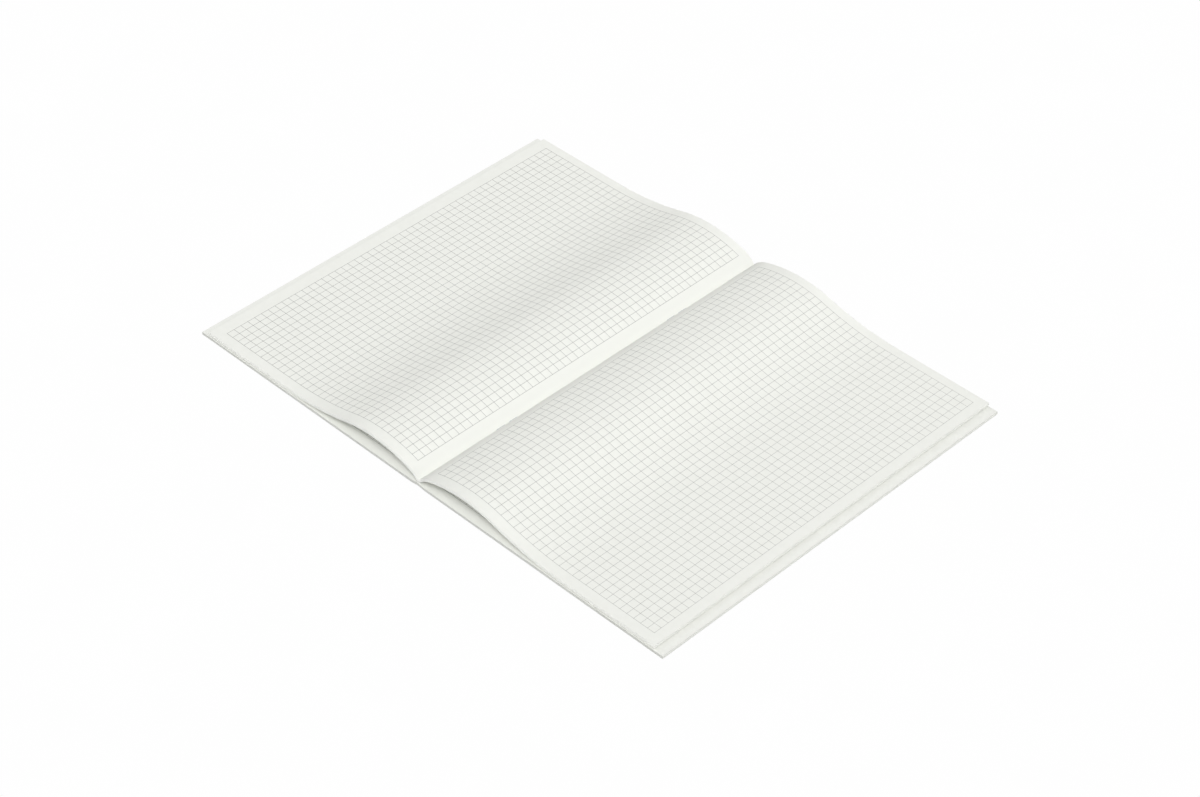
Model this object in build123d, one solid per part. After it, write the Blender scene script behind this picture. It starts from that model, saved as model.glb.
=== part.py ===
from build123d import *
import math
import os

# A stapled exercise book that lies open at its centre spread.
# A folded card cover holds nested folded sheets, and two wire staples hold them at the fold.
# X runs from the fold to the right-hand fore-edge, Y runs up the page along the fold, Z is up.
# The origin lies under the middle of the fold, on the surface that the book rests on.
# The fold of the cover and of every sheet is a living hinge, so each of them is two solids,
# one on each side of the fold: the front half is on the left and the back half on the right.

# Driving dimensions, in millimetres and degrees

# Cover and sheets
PAGE_HEIGHT = 210.0
COVER_WIDTH = 144.0
COVER_THICKNESS = 0.35
SHEET_THICKNESS = 0.10
AIR_GAP = 0.03
FLAT_SHEET_COUNT = 8
ARCHED_SHEET_COUNT = 8
# The flat sheets are trimmed almost flush with the cover
TRIM_PER_FLAT_SHEET = 0.02
# The arched sheets are all cut to one size: narrower than the cover by this much at the fore-edge
ARCHED_INSET = 2.3
# and shorter than the flat sheets by this much at the head and at the tail
ARCHED_TRIM = 0.3

# Staples
WIRE_DIAMETER = 0.5
WIRE_CLEARANCE = 0.05
CROWN_LENGTH = 13.0
TIP_LENGTH = 5.2
# The bent tips press into the fold, this far below the top leaf beside it
TIP_SINK = 0.35
WIRE_BEND_RADIUS = 0.6
STAPLE_SPACING = 106.0

# Crease of the flat sheets and the cover, which rises over the staples' crowns
CREASE_HALF_WIDTH = 4.0
CREASE_CLEARANCE = 0.10

# Arch of the inner sheets, given for the lowest one's underside and measured from the flat sheets' top
FOLD_ANGLE = 50.0
SHOULDER_ANGLE = 18.0
CREST_DISTANCE = 28.6
CREST_HEIGHT = 8.72
FOOT_DISTANCE = 86.5
TAIL_LIFT = 0.67
# Share of the fall behind the crest that the crest's arc takes; the foot's arc takes the rest
CREST_SHARE = 0.305
# The arched sheets lie loosely: the air between two of them where they are steepest, straight up
ARCHED_AIR_GAP = 0.06

# Sizes that follow from the driving dimensions

SHEET_PITCH = SHEET_THICKNESS + AIR_GAP
ARCHED_PITCH = SHEET_THICKNESS / math.cos(math.radians(FOLD_ANGLE)) + ARCHED_AIR_GAP
FOLD_EDGE = WIRE_DIAMETER / 2 + WIRE_CLEARANCE
CREASE_RISE = WIRE_DIAMETER + CREASE_CLEARANCE
CREASE_EDGE_RISE = CREASE_RISE * (1 - FOLD_EDGE / CREASE_HALF_WIDTH)
FLAT_TOP = COVER_THICKNESS + FLAT_SHEET_COUNT * SHEET_PITCH
CLOSED_HALF = FLAT_TOP + ARCHED_SHEET_COUNT * SHEET_PITCH + AIR_GAP / 2
HALF_HEIGHT = PAGE_HEIGHT / 2


def leaf_width(sheet):
    """Width of one leaf of a sheet, from the fold to the fore-edge; sheet 1 is the outermost."""
    if sheet <= FLAT_SHEET_COUNT:
        return COVER_WIDTH - TRIM_PER_FLAT_SHEET * sheet
    return COVER_WIDTH - ARCHED_INSET


def on_circle(centre, radius, angle):
    """Point on a circle, with the angle turned from straight up towards the fore-edge."""
    return (centre[0] + radius * math.sin(angle), 0, centre[1] + radius * math.cos(angle))


class Arch:
    """Section of an arched sheet: four tangent arcs and a flat tail, given at an offset from its underside."""

    def __init__(self):
        fold = math.radians(FOLD_ANGLE)
        self.shoulder = math.radians(SHOULDER_ANGLE)
        seat = FLAT_TOP + AIR_GAP + CREASE_EDGE_RISE
        crest = FLAT_TOP + CREST_HEIGHT
        self.tail = FLAT_TOP + TAIL_LIFT

        # Two arcs climb from the fold to the crest: their radii solve the run and the climb
        run = CREST_DISTANCE - FOLD_EDGE
        climb = crest - seat
        gutter_run = math.sin(fold) - math.sin(self.shoulder)
        gutter_climb = math.cos(self.shoulder) - math.cos(fold)
        rise_run = math.sin(self.shoulder)
        rise_climb = 1 - math.cos(self.shoulder)
        determinant = gutter_run * rise_climb - rise_run * gutter_climb
        self.gutter_radius = (run * rise_climb - rise_run * climb) / determinant
        self.rise_radius = (gutter_run * climb - gutter_climb * run) / determinant

        # Two arcs fall from the crest to the tail, turning by the same angle one after the other
        fall_run = FOOT_DISTANCE - CREST_DISTANCE
        self.slope = 2 * math.atan2(crest - self.tail, fall_run)
        both_radii = fall_run / math.sin(self.slope)
        self.crest_radius = CREST_SHARE * both_radii
        self.foot_radius = (1 - CREST_SHARE) * both_radii

        self.gutter_centre = (
            FOLD_EDGE + self.gutter_radius * math.sin(fold),
            seat - self.gutter_radius * math.cos(fold),
        )
        self.rise_centre = (CREST_DISTANCE, crest - self.rise_radius)
        self.crest_centre = (CREST_DISTANCE, crest - self.crest_radius)
        self.foot_centre = (FOOT_DISTANCE, self.tail + self.foot_radius)

    def start_angle(self, offset):
        """Slope of the gutter arc where it is cut beside the fold."""
        return math.asin((self.gutter_centre[0] - FOLD_EDGE) / (self.gutter_radius + offset))

    def start_height(self, offset):
        """Height of a surface where it is cut beside the fold."""
        radius = self.gutter_radius + offset
        return on_circle(self.gutter_centre, radius, -self.start_angle(offset))[2]

    def length(self, offset):
        """Length of the four arcs along a surface."""
        gutter = (self.gutter_radius + offset) * (self.start_angle(offset) - self.shoulder)
        rise = (self.rise_radius + offset) * self.shoulder
        fall = (self.crest_radius + offset + self.foot_radius - offset) * self.slope
        return gutter + rise + fall

    def edges(self, offset, end_x):
        """The arcs and the tail of one surface, from the fold to the fore-edge at end_x."""
        start = self.start_angle(offset)
        arcs = (
            (self.gutter_centre, self.gutter_radius + offset, -start, -self.shoulder),
            (self.rise_centre, self.rise_radius + offset, -self.shoulder, 0),
            (self.crest_centre, self.crest_radius + offset, 0, self.slope),
            (self.foot_centre, -(self.foot_radius - offset), self.slope, 0),
        )
        made = []
        for centre, radius, first, last in arcs:
            ends_and_middle = [on_circle(centre, radius, a) for a in (first, (first + last) / 2, last)]
            made.append(ThreePointArc(*ends_and_middle))
        made.append(Line(made[-1] @ 1, (end_x, 0, self.tail + offset)))
        return made


def section_solid(edges, half_height):
    """Solid that reaches half_height up and down the page, from a closed section in the XZ plane."""
    return extrude(make_face(edges), amount=half_height, dir=(0, 1, 0), both=True)


def flat_half(bottom, thickness, width):
    """Right-hand half of the cover or of a flat sheet, with the crease that rises to the fold."""
    outline = [
        (FOLD_EDGE, 0, bottom + CREASE_EDGE_RISE),
        (CREASE_HALF_WIDTH, 0, bottom),
        (width, 0, bottom),
        (width, 0, bottom + thickness),
        (CREASE_HALF_WIDTH, 0, bottom + thickness),
        (FOLD_EDGE, 0, bottom + thickness + CREASE_EDGE_RISE),
    ]
    return section_solid(Polyline(*outline, close=True).edges(), HALF_HEIGHT)


def arched_half(arch, layer, width):
    """Right-hand leaf of an arched sheet; layer 0 lies lowest and each next one straight above it."""
    tail_end = FOOT_DISTANCE + width - FOLD_EDGE - arch.length(SHEET_THICKNESS / 2)
    lower = arch.edges(0, tail_end)
    upper = arch.edges(SHEET_THICKNESS, tail_end)
    fold_cut = Line(lower[0] @ 0, upper[0] @ 0)
    fore_edge = Line(lower[-1] @ 1, upper[-1] @ 1)
    leaf = section_solid([*lower, fore_edge, *upper, fold_cut], HALF_HEIGHT - ARCHED_TRIM)
    return Pos(0, 0, layer * ARCHED_PITCH) * leaf


def staple(centre_y, arch):
    """Wire staple: the crown lies under the crease, the legs go up the fold, the tips bend inwards."""
    crown_z = WIRE_DIAMETER / 2 + CREASE_CLEARANCE / 2
    top_leaf_lift = (ARCHED_SHEET_COUNT - 1) * ARCHED_PITCH
    tip_z = arch.start_height(SHEET_THICKNESS) + top_leaf_lift - TIP_SINK
    leg_y = CROWN_LENGTH / 2
    tip_y = leg_y - TIP_LENGTH
    corners = [
        (0, centre_y - tip_y, tip_z),
        (0, centre_y - leg_y, tip_z),
        (0, centre_y - leg_y, crown_z),
        (0, centre_y + leg_y, crown_z),
        (0, centre_y + leg_y, tip_z),
        (0, centre_y + tip_y, tip_z),
    ]
    path = FilletPolyline(*corners, radius=WIRE_BEND_RADIUS)
    section = Plane(path @ 0, z_dir=path % 0) * Circle(WIRE_DIAMETER / 2)
    return sweep(section, path)


def both_halves(name_front, name_back, right_half):
    """The right-hand half as the back node, and its mirror image as the front node."""
    return {name_front: mirror(right_half, about=Plane.YZ), name_back: right_half}


def exercise_book():
    """Every piece of the book by its node name."""
    arch = Arch()
    pieces = both_halves("front_cover", "back_cover", flat_half(0, COVER_THICKNESS, COVER_WIDTH))
    for sheet in range(1, FLAT_SHEET_COUNT + ARCHED_SHEET_COUNT + 1):
        if sheet <= FLAT_SHEET_COUNT:
            bottom = COVER_THICKNESS + sheet * SHEET_PITCH - SHEET_THICKNESS
            half = flat_half(bottom, SHEET_THICKNESS, leaf_width(sheet))
        else:
            half = arched_half(arch, sheet - FLAT_SHEET_COUNT - 1, leaf_width(sheet))
        name = f"sheet_{sheet:02d}"
        pieces.update(both_halves(f"{name}_front_leaf", f"{name}_back_leaf", half))
    pieces["upper_staple"] = staple(STAPLE_SPACING / 2, arch)
    pieces["lower_staple"] = staple(-STAPLE_SPACING / 2, arch)
    print(f"gutter, rise, crest and foot radius: {arch.gutter_radius:.2f}, {arch.rise_radius:.2f}, "
          f"{arch.crest_radius:.2f}, {arch.foot_radius:.2f}")
    print(f"flat sheets end at {FLAT_TOP:.3f}, the hinge of the fold lies at {CLOSED_HALF:.3f}, "
          f"arched sheets lie {ARCHED_PITCH:.4f} apart")
    return pieces


os.makedirs("parts", exist_ok=True)
for node, solid in exercise_book().items():
    export_step(solid, f"parts/{node}.step")
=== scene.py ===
# %% [markdown]
# # A stapled exercise book, open at its centre spread
# The real book is a folded card cover, sixteen folded sheets and two wire staples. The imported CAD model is
# the frame: it says where every panel, leaf and staple is and how it moves. Blender adds what the eye
# sees: paper that runs on across the fold, the squared print, card with its fibres, and drawn wire. The
# frame is in metres, but paper is easier to think about in millimetres, so the shapes are built in
# millimetres and shrunk once at the end.

# %% Load the frame
import math
import random

import bmesh
import bpy
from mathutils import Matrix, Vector


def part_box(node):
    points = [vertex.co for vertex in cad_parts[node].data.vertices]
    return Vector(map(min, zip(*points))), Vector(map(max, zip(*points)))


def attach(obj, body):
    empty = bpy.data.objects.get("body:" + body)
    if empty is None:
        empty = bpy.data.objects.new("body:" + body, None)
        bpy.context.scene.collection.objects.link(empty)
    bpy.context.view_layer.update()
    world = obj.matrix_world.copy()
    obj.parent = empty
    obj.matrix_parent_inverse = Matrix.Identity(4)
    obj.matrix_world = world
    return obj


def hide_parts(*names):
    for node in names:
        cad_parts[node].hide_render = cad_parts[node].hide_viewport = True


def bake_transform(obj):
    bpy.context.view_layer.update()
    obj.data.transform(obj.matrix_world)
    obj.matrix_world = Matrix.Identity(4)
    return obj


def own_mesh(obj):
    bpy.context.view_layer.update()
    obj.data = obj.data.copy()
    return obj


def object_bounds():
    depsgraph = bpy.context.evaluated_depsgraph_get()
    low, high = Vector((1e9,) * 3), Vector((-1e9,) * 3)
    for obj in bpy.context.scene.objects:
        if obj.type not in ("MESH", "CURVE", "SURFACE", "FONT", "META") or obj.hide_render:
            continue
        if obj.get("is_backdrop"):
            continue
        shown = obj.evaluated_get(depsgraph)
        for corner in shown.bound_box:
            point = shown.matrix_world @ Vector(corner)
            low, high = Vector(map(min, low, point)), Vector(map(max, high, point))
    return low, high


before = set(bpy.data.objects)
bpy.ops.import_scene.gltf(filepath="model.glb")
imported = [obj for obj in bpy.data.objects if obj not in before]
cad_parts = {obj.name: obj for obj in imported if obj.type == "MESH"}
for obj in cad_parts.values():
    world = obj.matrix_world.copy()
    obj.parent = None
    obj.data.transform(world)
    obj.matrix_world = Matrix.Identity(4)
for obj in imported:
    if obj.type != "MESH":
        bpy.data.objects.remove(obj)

MM = 0.001
scene = bpy.context.scene
cad_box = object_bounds()
cover_low, cover_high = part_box("back_cover")
PAGE_HEIGHT = (cover_high.y - cover_low.y) / MM
print("CAD nodes:", len(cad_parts), "size in mm:", [round(s / MM, 2) for s in cad_box[1] - cad_box[0]])
print("page height", round(PAGE_HEIGHT, 2), "mm")

# %% [markdown]
# ## Camera
# The book is seen from its right-hand near corner, from about forty degrees up, through a long lens. A
# camera can be turned with Euler angles by trial, but a direction and a distance from an aim point say the
# same thing in words that can be read back: how far round, how far up, how far away.

# %% Camera
CAMERA_AZIMUTH = 44.943
CAMERA_ELEVATION = 40.669
CAMERA_DISTANCE = 1.29859
CAMERA_AIM = Vector((0.014008, -0.010010, 0.0))
LENS_LENGTH = 88.84
SENSOR_WIDTH = 36.0


def direction(azimuth, elevation):
    """Unit vector from the book towards a point so far round from the front and so far up, in degrees."""
    round_by, up_by = math.radians(azimuth), math.radians(elevation)
    level = math.cos(up_by)
    return Vector((math.sin(round_by) * level, -math.cos(round_by) * level, math.sin(up_by)))


camera = bpy.data.objects.new("camera", bpy.data.cameras.new("camera"))
scene.collection.objects.link(camera)
camera.data.lens = LENS_LENGTH
camera.data.sensor_width = SENSOR_WIDTH
camera_side = direction(CAMERA_AZIMUTH, CAMERA_ELEVATION)
camera.location = CAMERA_AIM + CAMERA_DISTANCE * camera_side
camera.rotation_euler = (-camera_side).to_track_quat("-Z", "Y").to_euler()
scene.camera = camera
print("camera at", [round(c, 4) for c in camera.location])

# %% [markdown]
# ## A way to write shader maths
# A material's pattern is a sum of small sums. Placing every node by hand hides the sum, so one small class
# wraps a socket: an expression such as 1 - mask then adds its own Math node, and one method makes any
# other kind of node. A second class holds a material with its shader, and makes the patterns that all of
# them share.

# %% Shader maths


class Tone:
    """A socket of a material's node tree that can be used in sums."""

    def __init__(self, tree, socket=None):
        self.tree = tree
        self.socket = socket

    def node(self, kind, settings=None, sockets=None, output=0):
        """A new node: its settings first, then values or links for its sockets."""
        made = self.tree.nodes.new(kind)
        for name, value in (settings or {}).items():
            setattr(made, name, value)
        for name, value in (sockets or {}).items():
            if isinstance(value, Tone):
                self.tree.links.new(value.socket, made.inputs[name])
            else:
                made.inputs[name].default_value = value
        return Tone(self.tree, made.outputs[output])

    def maths(self, operation, first, second=0.0):
        """A new Math node with one or two values."""
        return self.node("ShaderNodeMath", {"operation": operation}, {0: first, 1: second})

    def __add__(self, other):
        return self.maths("ADD", self, other)

    __radd__ = __add__

    def __sub__(self, other):
        return self.maths("SUBTRACT", self, other)

    def __rsub__(self, other):
        return self.maths("SUBTRACT", other, self)

    def __mul__(self, other):
        return self.maths("MULTIPLY", self, other)

    __rmul__ = __mul__

    def __truediv__(self, other):
        return self.maths("DIVIDE", self, other)

    def __abs__(self):
        return self.maths("ABSOLUTE", self)

    def __round__(self):
        return self.maths("ROUND", self)

    def at_least(self, low):
        """The value, or low where it is less."""
        return self.maths("MAXIMUM", self, low)

    def at_most(self, high):
        """The value, or high where it is more."""
        return self.maths("MINIMUM", self, high)

    def ramp(self, low, high, to_low=0.0, to_high=1.0):
        """Eases from to_low to to_high as the value goes from low to high."""
        places = {"Value": self, "From Min": low, "From Max": high, "To Min": to_low, "To Max": to_high}
        return self.node("ShaderNodeMapRange", {"interpolation_type": "SMOOTHSTEP"}, places)


# Numbers of a Mix node's sockets for colours, because their names aren't unique
MIX_FIRST = 6
MIX_SECOND = 7
MIX_RESULT = 2


def blend_colours(share, first, second):
    """The first colour where share is 0, the second where it is 1."""
    sockets = {0: share, MIX_FIRST: first, MIX_SECOND: second}
    return share.node("ShaderNodeMix", {"data_type": "RGBA"}, sockets, output=MIX_RESULT)


class Finish:
    """A material with its shader, and the places on a piece that its pattern can start from."""

    def __init__(self, name):
        self.material = bpy.data.materials.new(name)
        self.material.use_nodes = True
        self.tree = self.material.node_tree
        self.shader = self.tree.nodes["Principled BSDF"]
        self.place = Tone(self.tree).node("ShaderNodeTexCoord", output="Object")

    def set(self, **values):
        """Sets plain numbers on the shader's own sockets; an underscore stands for a space."""
        for name, value in values.items():
            self.shader.inputs[name.replace("_", " ")].default_value = value

    def feed(self, name, tone):
        """Links a pattern to one of the shader's sockets."""
        self.tree.links.new(tone.socket, self.shader.inputs[name])

    def plan(self):
        """Millimetres from the fold, up the page and to the right of the fold, which every sheet carries."""
        found = self.place.node("ShaderNodeAttribute", {"attribute_name": "page_plan"}, output="Vector")
        return [found.node("ShaderNodeSeparateXYZ", sockets={0: found}, output=axis) for axis in range(3)]

    def grain(self, size, detail=2.0, stretch=(1.0, 1.0, 1.0)):
        """Cloudy noise whose patches are about size millimetres across, pulled longer by stretch."""
        scale = [1 / s for s in stretch]
        pulled = self.place.node("ShaderNodeMapping", sockets={"Vector": self.place, "Scale": scale})
        return pulled.node("ShaderNodeTexNoise", sockets={
            "Vector": pulled, "Scale": 1 / (size * MM), "Detail": detail})

    def show_camera(self, other):
        """Shows the camera another shader, and leaves this one to the light that bounces."""
        seen = other.node("ShaderNodeLightPath", output="Is Camera Ray")
        own = Tone(self.tree, self.shader.outputs[0])
        mixed = other.node("ShaderNodeMixShader", sockets={0: seen, 1: own, 2: other})
        self.tree.links.new(mixed.socket, self.tree.nodes["Material Output"].inputs["Surface"])

    def relief(self, height, depth, strength):
        """A bump whose full height is depth millimetres."""
        self.feed("Normal", height.node("ShaderNodeBump", sockets={
            "Height": height, "Distance": depth * MM, "Strength": strength}))


def grey(level):
    """A colour without a hue."""
    return (level, level, level, 1.0)


# Noise stays near one half: ranges that take in nearly all of its values, most of them, or the middle ones
ALL_NOISE = (0.2, 0.8)
MOST_NOISE = (0.3, 0.7)
MIDDLE_NOISE = (0.35, 0.65)
print("shader maths ready")

# %% [markdown]
# ## Light and floor
# White paper on a white table is drawn by soft light alone. The main light stands near the camera, so its
# shadows fall behind the book, where the camera can't see them, and the hollows under the pages stay light
# at their mouth. A higher one lights the pages from above, and two weaker ones, one on each side, keep the
# slopes of the pages apart in tone. Sun lamps with wide discs do this evenly over the spread, where area
# lamps would fall off from one page to the other. The sky is white to look at and in the wire's
# reflections, but gives the paper only a little light, because an even sky would fill the gutter and the
# hollows with a flat grey. The table is plain white to look at, with no shadow on it, like a table that is
# lit from below; what it throws back at the sheets' edges is only the light that falls on it. The plain
# view transform keeps white as white.

# %% Light and floor
SKY_LIGHT = 0.12
# Degrees round from the front, degrees up, strength, and the width of the disc in degrees
LAMPS = {
    "key_light": (48.0, 45.0, 1.56, 22.0),
    "high_light": (45.0, 65.0, 0.75, 30.0),
    "left_light": (-45.0, 45.0, 0.80, 40.0),
    "right_light": (125.0, 42.0, 0.62, 40.0),
}
FLOOR_SIZE = 8.0
FLOOR_DROP = 0.02 * MM
TABLE_SHADE = grey(0.84)
TABLE_WHITE = grey(0.86)
GLOW_SHADE = grey(0.99)
GLOW_WHITE = grey(1.0)

scene.view_settings.view_transform = "Standard"

world = bpy.data.worlds.new("studio")
world.use_nodes = True
sky = world.node_tree.nodes["Background"]
sky.inputs["Color"].default_value = grey(1.0)
on_paper = Tone(world.node_tree).node("ShaderNodeLightPath", output="Is Diffuse Ray")
world.node_tree.links.new((1 - (1 - SKY_LIGHT) * on_paper).socket, sky.inputs["Strength"])
scene.world = world

for lamp_name, (azimuth, elevation, strength, spread) in LAMPS.items():
    lamp = bpy.data.objects.new(lamp_name, bpy.data.lights.new(lamp_name, "SUN"))
    scene.collection.objects.link(lamp)
    lamp.data.energy = strength
    lamp.data.angle = math.radians(spread)
    lamp.rotation_euler = (-direction(azimuth, elevation)).to_track_quat("-Z", "Y").to_euler()

floor_shape = bmesh.new()
bmesh.ops.create_grid(floor_shape, x_segments=1, y_segments=1, size=FLOOR_SIZE / 2)
bmesh.ops.translate(floor_shape, verts=floor_shape.verts, vec=(0, 0, -FLOOR_DROP))
floor_mesh = bpy.data.meshes.new("floor")
floor_shape.to_mesh(floor_mesh)
floor_shape.free()
floor = bpy.data.objects.new("floor", floor_mesh)
scene.collection.objects.link(floor)
floor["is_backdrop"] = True
table_top = Finish("pale_table")
haze = table_top.grain(size=40.0)
table_top.feed("Base Color", blend_colours(haze, TABLE_SHADE, TABLE_WHITE))
table_top.set(Roughness=0.9, Specular_IOR_Level=0.1)
glow = haze.node("ShaderNodeEmission", sockets={"Color": blend_colours(haze, GLOW_SHADE, GLOW_WHITE)})
table_top.show_camera(glow)
floor.data.materials.append(table_top.material)
print("lamps:", ", ".join(LAMPS), "and a floor", FLOOR_SIZE, "m wide")

# %% [markdown]
# ## Squared paper
# The pages are white uncoated paper with a faint grey grid, thirty-three squares across and fifty up,
# printed in a thin ink that lets the paper through, so two lines that cross leave a darker dot. A picture
# of the page could carry this, but a picture has one sharpness. Here each sheet knows how far every point
# is from the fold and up the page, and the lines are worked out from those two distances, so they follow
# the bend of the paper exactly. Both pages of a sheet are printed in one pass, a little off the fold and
# with a little more ink on the left, as a small press does. The outer sheets' paper is painted a little
# greyer than the inner sheets', as painted shade, and the paper beside the fold is painted darker, as
# painted shade in the gutter.

# %% Squared paper
COLUMN_COUNT = 33
ROW_COUNT = 50
INNER_MARGIN = 8.0
COLUMN_PITCH = 3.885
TAIL_MARGIN = 5.54
ROW_PITCH = 3.99
LINE_WIDTH = 0.22
# The ink of a line fades out between these shares of its width from its middle
LINE_FADE = (0.35, 0.65)
# Half the length over which a line fades at its ends
END_FADE = 0.02
INK_STRENGTH = 0.54
# Share of the ink that is lost with every millimetre to the right
INK_SLOPE = 0.0011
PAPER_WHITE = (0.860, 0.868, 0.825, 1.0)
PAPER_SHADE = (0.842, 0.850, 0.806, 1.0)
# Painted shade: the flat outer sheets' paper is a little greyer than the inner sheets', under the arches and
# on the rim
OUTER_SHADED_WHITE = (0.827, 0.835, 0.794, 1.0)
OUTER_SHADED_CLOUD = (0.811, 0.819, 0.778, 1.0)
# Painted shade in the gutter: the darker white beside the fold, and the millimetres over which it fades out
GUTTER_PAINTED_SHADE = (0.800, 0.808, 0.767, 1.0)
GUTTER_SHADE_REACH = 13.0
INK_GREY = (0.10, 0.105, 0.10, 1.0)
CLOUD_RELIEF = 0.6


def ruled_lines(distance, first, pitch, count):
    """1 on the lines that divide a page into count squares, 0 between them."""
    step = (distance - first) / pitch
    nearest = round(step).at_least(0.0).at_most(float(count))
    off_line = abs(step - nearest) * pitch
    solid, clear = (share * LINE_WIDTH for share in LINE_FADE)
    return off_line.ramp(solid, clear, to_low=1.0, to_high=0.0)


def inside_print(distance, first, pitch, count):
    """1 from the first line to the last."""
    middle = first + pitch * count / 2
    reach = (pitch * count + LINE_WIDTH) / 2
    return abs(distance - middle).ramp(reach - END_FADE, reach + END_FADE, to_low=1.0, to_high=0.0)


def squared_paper(name, white, shade):
    """Printed paper whose clouds run between two whites."""
    finish = Finish(name)
    across, up, rightwards = finish.plan()
    columns = ruled_lines(across, INNER_MARGIN, COLUMN_PITCH, COLUMN_COUNT)
    rows = ruled_lines(up, TAIL_MARGIN, ROW_PITCH, ROW_COUNT)
    columns = columns * inside_print(up, TAIL_MARGIN, ROW_PITCH, ROW_COUNT)
    rows = rows * inside_print(across, INNER_MARGIN, COLUMN_PITCH, COLUMN_COUNT)
    cloud = finish.grain(size=3.0, detail=3.0)
    fibre = finish.grain(size=0.35, detail=3.0, stretch=(1.0, 2.5, 1.0))
    fibre_ink = fibre.ramp(*ALL_NOISE, to_low=0.85, to_high=1.1)
    ink = INK_STRENGTH * fibre_ink * (1 - INK_SLOPE * rightwards)
    bare = (1 - ink * columns) * (1 - ink * rows)
    # Painted shade in the gutter, strongest at the fold
    gutter_shade = across.ramp(0.0, GUTTER_SHADE_REACH, to_low=1.0, to_high=0.0)
    sheet_white = blend_colours(cloud.ramp(*MOST_NOISE), shade, white)
    sheet_white = blend_colours(gutter_shade, sheet_white, GUTTER_PAINTED_SHADE)
    finish.feed("Base Color", blend_colours(bare, INK_GREY, sheet_white))
    finish.feed("Roughness", fibre.ramp(*ALL_NOISE, to_low=0.82, to_high=0.94))
    finish.relief(fibre + CLOUD_RELIEF * cloud, depth=0.012, strength=0.15)
    finish.set(Specular_IOR_Level=0.25)
    return finish


inner_paper = squared_paper("inner_paper", PAPER_WHITE, PAPER_SHADE)
# The outer sheets get the greyer paper as painted shade
outer_paper = squared_paper("outer_paper", OUTER_SHADED_WHITE, OUTER_SHADED_CLOUD)
print("squared paper:", COLUMN_COUNT, "by", ROW_COUNT, "squares")

# %% [markdown]
# ## Cut edges
# The outer sheets lie pressed together. Their cut edges are painted grey, as painted shade, darker along
# the head and the tail than along the fore-edge, and carry a little dirt that differs from sheet to sheet.
# The edges of the inner sheets are painted lighter than their paper, as painted light. A tone for each
# sheet could be drawn by lot, but noise that is pulled long in the plane of the paper and stays short
# across it also changes slowly along an edge, as real wear does.

# %% Cut edges
# Painted shade on the outer sheets' cut edges, lighter along the fore-edge and darker along the head and the
# tail
FORE_EDGE_PAINTED_SHADE = (0.750, 0.757, 0.720, 1.0)
TAIL_EDGE_PAINTED_SHADE = (0.600, 0.606, 0.576, 1.0)
# Painted light: the inner sheets' cut edges are lighter than their paper
INNER_EDGE_PAINTED_LIGHT = (0.940, 0.945, 0.915, 1.0)
EDGE_DIRT = (0.36, 0.35, 0.31, 1.0)
DIRT_SHARE = 0.14
# The tone of the head and the tail sets in between these distances from the sheet's end
TAIL_TONE_FROM = 0.06
TAIL_TONE_TO = 0.02


def cut_edge(name, fore_edge, tail_edge):
    """Cut paper whose edge tone is painted: one tone along the fore-edge and one along the head and the
    tail, and some dirt.
    """
    finish = Finish(name)
    _, up, _ = finish.plan()
    half_page = PAGE_HEIGHT / 2
    at_tail = abs(up - half_page).ramp(half_page - TAIL_TONE_FROM, half_page - TAIL_TONE_TO)
    ply = finish.grain(size=0.16, detail=1.0, stretch=(150.0, 150.0, 1.0))
    rub = finish.grain(size=9.0, detail=3.0)
    dirt = DIRT_SHARE * ply.ramp(*MIDDLE_NOISE) * rub.ramp(*MOST_NOISE, to_low=0.3, to_high=1.0)
    painted_edge_tone = blend_colours(at_tail, fore_edge, tail_edge)
    finish.feed("Base Color", blend_colours(dirt, painted_edge_tone, EDGE_DIRT))
    finish.feed("Roughness", ply.ramp(*ALL_NOISE, to_low=0.84, to_high=0.95))
    finish.relief(ply, depth=0.02, strength=0.12)
    finish.set(Specular_IOR_Level=0.2)
    return finish


# The outer sheets' edges carry the painted shade
outer_edge = cut_edge("outer_edge", FORE_EDGE_PAINTED_SHADE, TAIL_EDGE_PAINTED_SHADE)
# The inner sheets' edges carry the painted light
inner_edge = cut_edge("inner_edge", INNER_EDGE_PAINTED_LIGHT, INNER_EDGE_PAINTED_LIGHT)
print("cut edges ready")

# %% [markdown]
# ## Cover card
# The cover is plain pale card, thicker and a little coarser than the paper, with longer fibres and a few
# darker flecks. Where card is folded its surface cracks, so a soft pale line runs along the spine. The
# crack could be cut into the shape, but it has hardly any depth, so a tone beside the fold is enough.

# %% Cover card
CARD_WHITE = (0.735, 0.745, 0.700, 1.0)
CARD_SHADE = (0.690, 0.700, 0.655, 1.0)
CARD_FLECK = (0.52, 0.51, 0.46, 1.0)
CARD_CRACK = (0.84, 0.84, 0.82, 1.0)
CRACK_CORE = 0.27
CRACK_REACH = 0.9
# Only the highest noise gives a fleck, and the crack fades where the fibres' noise is low
FLECK_NOISE = (0.70, 0.76)
CRACK_NOISE = (0.35, 0.6)
FLECK_SHARE = 0.5
MOTTLE_RELIEF = 0.5

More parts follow.
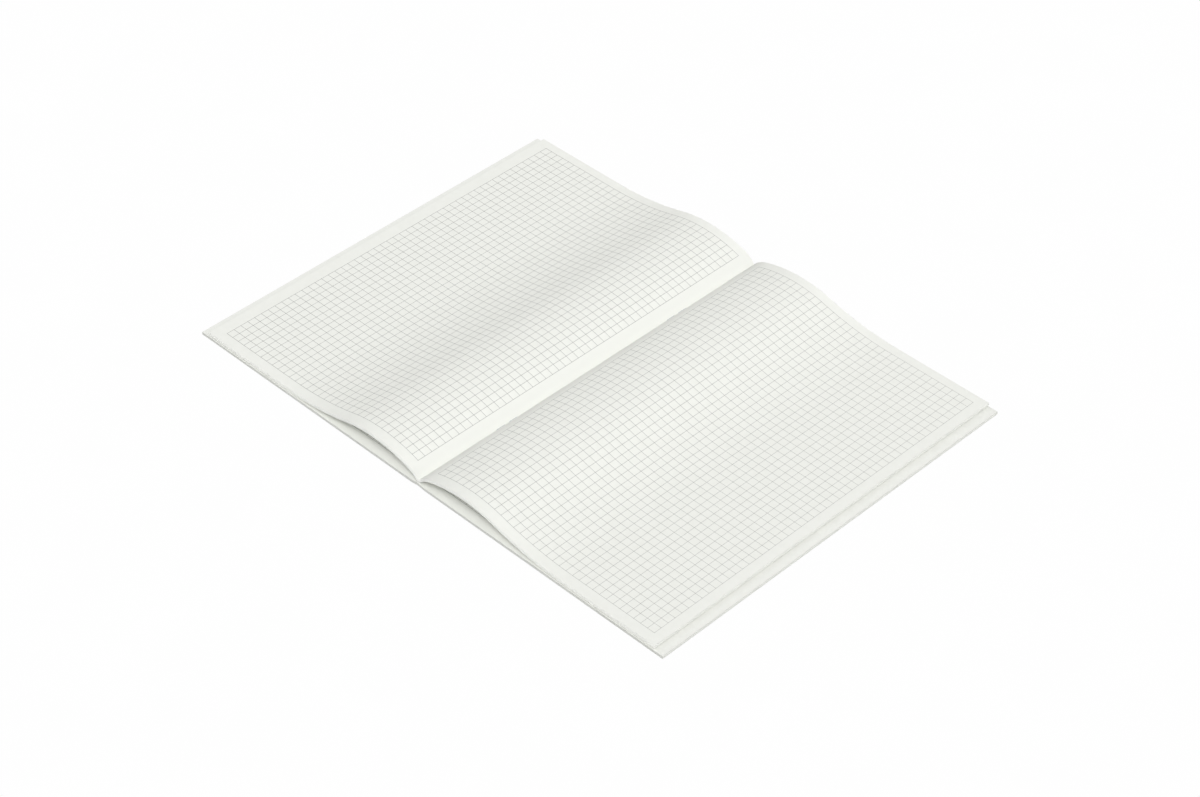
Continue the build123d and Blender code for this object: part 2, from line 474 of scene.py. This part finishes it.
card = Finish("cover_card")
from_fold, _, _ = card.plan()
mottle = card.grain(size=6.0, detail=4.0)
strand = card.grain(size=0.5, detail=3.0, stretch=(1.0, 4.0, 1.0))
fleck = card.grain(size=1.1, detail=1.0).ramp(*FLECK_NOISE)
crack = from_fold.ramp(CRACK_CORE, CRACK_REACH, to_low=1.0, to_high=0.0) * strand.ramp(*CRACK_NOISE)
card_tone = blend_colours(mottle.ramp(*MOST_NOISE), CARD_SHADE, CARD_WHITE)
card_tone = blend_colours(fleck * FLECK_SHARE, card_tone, CARD_FLECK)
card.feed("Base Color", blend_colours(crack, card_tone, CARD_CRACK))
card.feed("Roughness", strand.ramp(*ALL_NOISE, to_low=0.62, to_high=0.80))
card.relief(strand + MOTTLE_RELIEF * mottle, depth=0.03, strength=0.4)
card.set(Specular_IOR_Level=0.35)
print("cover card ready")

# %% [markdown]
# ## Staple wire
# Staples are bent from drawn steel wire with a thin coat of zinc. Drawing leaves fine scratches along the
# wire and the zinc dulls in patches, so the metal is bright but never a mirror. The CAD solids already
# have the wire's bends, so they are kept as they are and only get this finish.

# %% Staple wire
ZINC_BRIGHT = (0.62, 0.63, 0.65, 1.0)
ZINC_DULL = (0.43, 0.44, 0.46, 1.0)
WIRE_ROUGHNESS = 0.22
PATCH_ROUGHNESS = 0.16
SCRATCH_ROUGHNESS = 0.12

wire = Finish("staple_wire")
scratch = wire.grain(size=0.05, stretch=(1.0, 30.0, 1.0))
patch = wire.grain(size=0.7, detail=3.0)
wire.feed("Base Color", blend_colours(patch.ramp(*MIDDLE_NOISE), ZINC_DULL, ZINC_BRIGHT))
wire.feed("Roughness", WIRE_ROUGHNESS + PATCH_ROUGHNESS * patch + SCRATCH_ROUGHNESS * scratch)
wire.relief(scratch, depth=0.004, strength=0.3)
wire.set(Metallic=1.0)
for node in ("upper_staple", "lower_staple"):
    staple_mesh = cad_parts[node].data
    staple_mesh.materials.clear()
    staple_mesh.materials.append(wire.material)
print("staples wear", wire.material.name)

# %% [markdown]
# ## From a section to a sheet
# A sheet of paper bends in one direction only, so its shape is a line drawn in section and pulled up the
# page. A cube flattened and bent with modifiers would also do, but the line can be measured: walking along
# it from the fold gives every point its distance on the flat page, which is what the print needs. The wall
# comes last, from a Solidify modifier, so that the paper keeps its thickness when a pose flattens or folds
# the sheet. A hair-thin strip is cut along all four sides, because smooth shading would otherwise round a
# corner over the whole length of an edge.

# %% From a section to a sheet
STRIP_WIDTH = 0.05


def start_section(x, z, height=PAGE_HEIGHT):
    """A new shape with one vertex at the tail edge of a sheet of that height."""
    shape = bmesh.new()
    shape.verts.layers.float_vector.new("page_plan")
    return shape, shape.verts.new((x, -height / 2, z))


def straight_to(shape, end, x, z):
    """Draws a straight piece of the section from the vertex end, and gives the new end."""
    new_end = bmesh.ops.extrude_vert_indiv(shape, verts=[end])["verts"][0]
    new_end.co.x, new_end.co.z = x, z
    return new_end


def bend_by(shape, end, radius, heading, next_heading, steps):
    """Draws an arc from the vertex end, turning from one heading to the next, in degrees above level."""
    side = 1 if next_heading < heading else -1
    slope = math.radians(heading)
    centre = end.co + side * radius * Vector((math.sin(slope), 0, -math.cos(slope)))
    turned = bmesh.ops.spin(
        shape, geom=[end], cent=centre, axis=(0, 1, 0), steps=steps,
        angle=math.radians(heading - next_heading), use_duplicate=False)
    return next(item for item in turned["geom_last"] if isinstance(item, bmesh.types.BMVert))


def measure_from(shape, fold, start=0.0):
    """Gives every vertex of the section its distance from the fold along the paper; the fold has start."""
    plan = shape.verts.layers.float_vector["page_plan"]
    fold[plan] = (start, 0, 0)
    reached, waiting = {fold}, [fold]
    while waiting:
        here = waiting.pop()
        for edge in here.link_edges:
            there = edge.other_vert(here)
            if there not in reached:
                there[plan] = (here[plan].x + edge.calc_length(), 0, 0)
                reached.add(there)
                waiting.append(there)


def cut_strips(shape):
    """Cuts a strip of STRIP_WIDTH along each side of a sheet."""
    for axis in (0, 1):
        places = [vertex.co[axis] for vertex in shape.verts]
        across_side = Vector((axis == 0, axis == 1, 0))
        for place in (min(places) + STRIP_WIDTH, max(places) - STRIP_WIDTH):
            everything = shape.verts[:] + shape.edges[:] + shape.faces[:]
            bmesh.ops.bisect_plane(
                shape, geom=everything, plane_co=place * across_side, plane_no=across_side)


def pull_up_page(shape):
    """Pulls a measured section up the page, and writes every vertex's place on the flat page."""
    tail_y = shape.verts[:][0].co.y
    pulled = bmesh.ops.extrude_edge_only(shape, edges=shape.edges[:])["geom"]
    head_edge = [item for item in pulled if isinstance(item, bmesh.types.BMVert)]
    bmesh.ops.translate(shape, verts=head_edge, vec=(0, -2 * tail_y, 0))
    cut_strips(shape)
    plan = shape.verts.layers.float_vector["page_plan"]
    for vertex in shape.verts:
        across_page = vertex[plan].x
        up_page = vertex.co.y + PAGE_HEIGHT / 2
        vertex[plan] = (across_page, up_page, math.copysign(across_page, vertex.co.x))


def sheet_from(shape, name, thickness, finish, rim_finish):
    """A sheet from a measured section: its faces look up, and its wall and its cut edges come last."""
    pull_up_page(shape)
    bmesh.ops.recalc_face_normals(shape, faces=shape.faces[:])
    if sum(face.normal.z for face in shape.faces) < 0:
        bmesh.ops.reverse_faces(shape, faces=shape.faces[:])
    for face in shape.faces:
        face.smooth = True
    for edge in shape.edges:
        edge.smooth = not edge.is_boundary
    bmesh.ops.scale(shape, verts=shape.verts, vec=(MM, MM, MM))
    mesh = bpy.data.meshes.new(name)
    shape.to_mesh(mesh)
    shape.free()
    piece = bpy.data.objects.new(name, mesh)
    scene.collection.objects.link(piece)
    mesh.materials.append(finish.material)
    mesh.materials.append(rim_finish.material)
    wall = piece.modifiers.new("thickness", "SOLIDIFY")
    wall.thickness = thickness * MM
    wall.offset = 0.0
    wall.use_even_offset = True
    wall.material_offset_rim = 1
    return piece


def leaf_nodes(number):
    """The CAD nodes of a sheet's front leaf and back leaf."""
    return f"sheet_{number:02d}_front_leaf", f"sheet_{number:02d}_back_leaf"


print("a strip of", STRIP_WIDTH, "mm is cut along the sides of every sheet")

# %% [markdown]
# ## Cover and flat sheets
# The cover and the eight outer sheets lie flat, and along the fold they rise a little over the crowns of
# the staples. In the CAD each of them is two panels with a slit between, because a rigid model needs a
# hinge there. Here each is one sheet that runs across the fold, with close rows of vertices along the
# spine. The sheets' walls are drawn a little thicker than the paper, so that sheets that lie on each other
# show hardly any gap; they still clear each other in the closed book.

# %% Cover and flat sheets
COVER_THICKNESS = 0.35
SHEET_THICKNESS = 0.10
SHEET_WALL = 0.127
FLAT_SHEET_COUNT = 8
CREASE_RISE = 0.6
CREASE_HALF_WIDTH = 4.0
# Half the width of the strip along the spine that gets close rows of vertices
ROLL_HALF_WIDTH = 0.6
ROLL_STEPS = 12
ROLL_TOLERANCE = 1e-6
# Rows of vertices this far beside the crease keep its corner short
SOFT_STEP = 0.5


def folded_flat(name, front_node, back_node, front_body, thickness, wall, finish):
    """One flat sheet from the left fore-edge over the crease to the right fore-edge."""
    front_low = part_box(front_node)[0] / MM
    back_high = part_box(back_node)[1] / MM
    level = front_low.z + thickness / 2
    roll_level = level + CREASE_RISE * (1 - ROLL_HALF_WIDTH / CREASE_HALF_WIDTH)
    shape, end = start_section(front_low.x, level)
    for x, z in (
        (-CREASE_HALF_WIDTH - SOFT_STEP, level),
        (-CREASE_HALF_WIDTH, level),
        (-ROLL_HALF_WIDTH, roll_level),
        (0, level + CREASE_RISE),
        (ROLL_HALF_WIDTH, roll_level),
        (CREASE_HALF_WIDTH, level),
        (CREASE_HALF_WIDTH + SOFT_STEP, level),
        (back_high.x, level),
    ):
        end = straight_to(shape, end, x, z)
    roll_reach = ROLL_HALF_WIDTH + ROLL_TOLERANCE
    roll = [edge for edge in shape.edges if all(abs(v.co.x) <= roll_reach for v in edge.verts)]
    bmesh.ops.subdivide_edges(shape, edges=roll, cuts=ROLL_STEPS - 1)
    measure_from(shape, min(shape.verts, key=lambda vertex: abs(vertex.co.x)))
    piece = sheet_from(shape, name, wall, finish, outer_edge)
    ROLL_HALF_WIDTH * MM
    -ROLL_HALF_WIDTH * MM
    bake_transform(piece)
    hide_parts(front_node, back_node)
    return piece


cover = folded_flat(
    "folded_cover", "front_cover", "back_cover", "front_cover", COVER_THICKNESS, COVER_THICKNESS, card)
for number in range(1, FLAT_SHEET_COUNT + 1):
    front, back = leaf_nodes(number)
    flat_sheet = folded_flat(
        f"flat_sheet_{number:02d}", front, back, front, SHEET_THICKNESS, SHEET_WALL, outer_paper)
print("cover and", FLAT_SHEET_COUNT, "flat sheets")

# %% [markdown]
# ## Arched leaves
# The eight inner sheets spring up from the fold: each leaf climbs steeply out of the gutter, rounds a
# crest, falls in a long hollow curve and lies level to its fore-edge. A hand-drawn curve would do for one
# leaf, but eight nested leaves must not touch, so the section is four arcs that meet smoothly, and each
# leaf is the one below it moved straight up: loose at the crest and close together where they are steep,
# at the fold. The left page is the right page turned over. Closing the book presses the arch flat, and each
# leaf's level in the closed book is worked out.

# %% Arched leaves
ARCHED_SHEET_COUNT = 8
AIR_GAP = 0.03
SHEET_PITCH = SHEET_THICKNESS + AIR_GAP
FLAT_TOP = COVER_THICKNESS + FLAT_SHEET_COUNT * SHEET_PITCH
ARCHED_PITCH = 0.2156
# Radii, centre and angles of the lowest leaf's underside
GUTTER_RADIUS = 15.485
RISE_RADIUS = 68.678
CREST_RADIUS = 64.736
FOOT_RADIUS = 147.513
GUTTER_CENTRE_X = 12.162
GUTTER_CENTRE_Z = -7.979
SHOULDER_ANGLE = 18.0
FALL_ANGLE = 15.83
GUTTER_STEPS = 28
RISE_STEPS = 20
CREST_STEPS = 20
FOOT_STEPS = 24
# A row of vertices this far behind the foot keeps its curve apart from the level tail
TAIL_STEP = 2.0
# The print of both pages lies this far to the right
PRINT_SHIFT = 0.6
# Leaves are trimmed longer or shorter than the CAD model's by up to this much
TRIM_SPREAD = 0.03

trim = random.Random(16)


def arched_leaf(name, layer, node, side):
    """One leaf of an arched sheet, on the side +1 of the back half or -1 of the front half."""
    offset = SHEET_THICKNESS / 2
    low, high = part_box(node)
    fore_edge = max(-low.x, high.x) / MM + trim.uniform(-TRIM_SPREAD, TRIM_SPREAD)
    gutter = GUTTER_RADIUS + offset
    fold_angle = math.asin(GUTTER_CENTRE_X / gutter)
    fold_level = GUTTER_CENTRE_Z + gutter * math.cos(fold_angle) + layer * ARCHED_PITCH
    shape, fold = start_section(0, fold_level, (high.y - low.y) / MM)
    end = fold
    for radius, heading, next_heading, steps in (
        (gutter, math.degrees(fold_angle), SHOULDER_ANGLE, GUTTER_STEPS),
        (RISE_RADIUS + offset, SHOULDER_ANGLE, 0, RISE_STEPS),
        (CREST_RADIUS + offset, 0, -FALL_ANGLE, CREST_STEPS),
        (FOOT_RADIUS - offset, -FALL_ANGLE, 0, FOOT_STEPS),
    ):
        end = bend_by(shape, end, radius, heading, next_heading, steps)
    level = end.co.z
    end = straight_to(shape, end, end.co.x + TAIL_STEP, level)
    straight_to(shape, end, fore_edge, level)
    measure_from(shape, fold, -side * PRINT_SHIFT)
    if side < 0:
        bmesh.ops.scale(shape, verts=shape.verts, vec=(-1, 1, 1))
    piece = sheet_from(shape, name, SHEET_WALL, inner_paper, inner_edge)
    pressed_level = FLAT_TOP + AIR_GAP + layer * SHEET_PITCH + offset
    pressed_level * MM
    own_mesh(piece)
    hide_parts(node)
    return piece, level


for layer in range(ARCHED_SHEET_COUNT):
    number = FLAT_SHEET_COUNT + 1 + layer
    front, back = leaf_nodes(number)
    leaf, tail = arched_leaf(f"arched_leaf_{number:02d}_front", layer, front, -1)
    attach(leaf, front)
    leaf, tail = arched_leaf(f"arched_leaf_{number:02d}_back", layer, back, 1)
    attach(leaf, "back_half")
    print("arched sheet", number, "tail at", round(tail, 3), "mm")

# %% [markdown]
# ## Sizes
# The last cell puts the CAD model's box and the dressed model's box side by side and prints the dressed
# model's size, so that a sheet that strays out of the frame is seen at once. The boxes could also be read
# off in Blender's side panel.

# %% Sizes
boxes = {"cad": [list(corner) for corner in cad_box], "visual": [list(corner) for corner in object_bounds()]}
print("visual size in mm:", [round((high - low) / MM, 2) for low, high in zip(*boxes["visual"])])
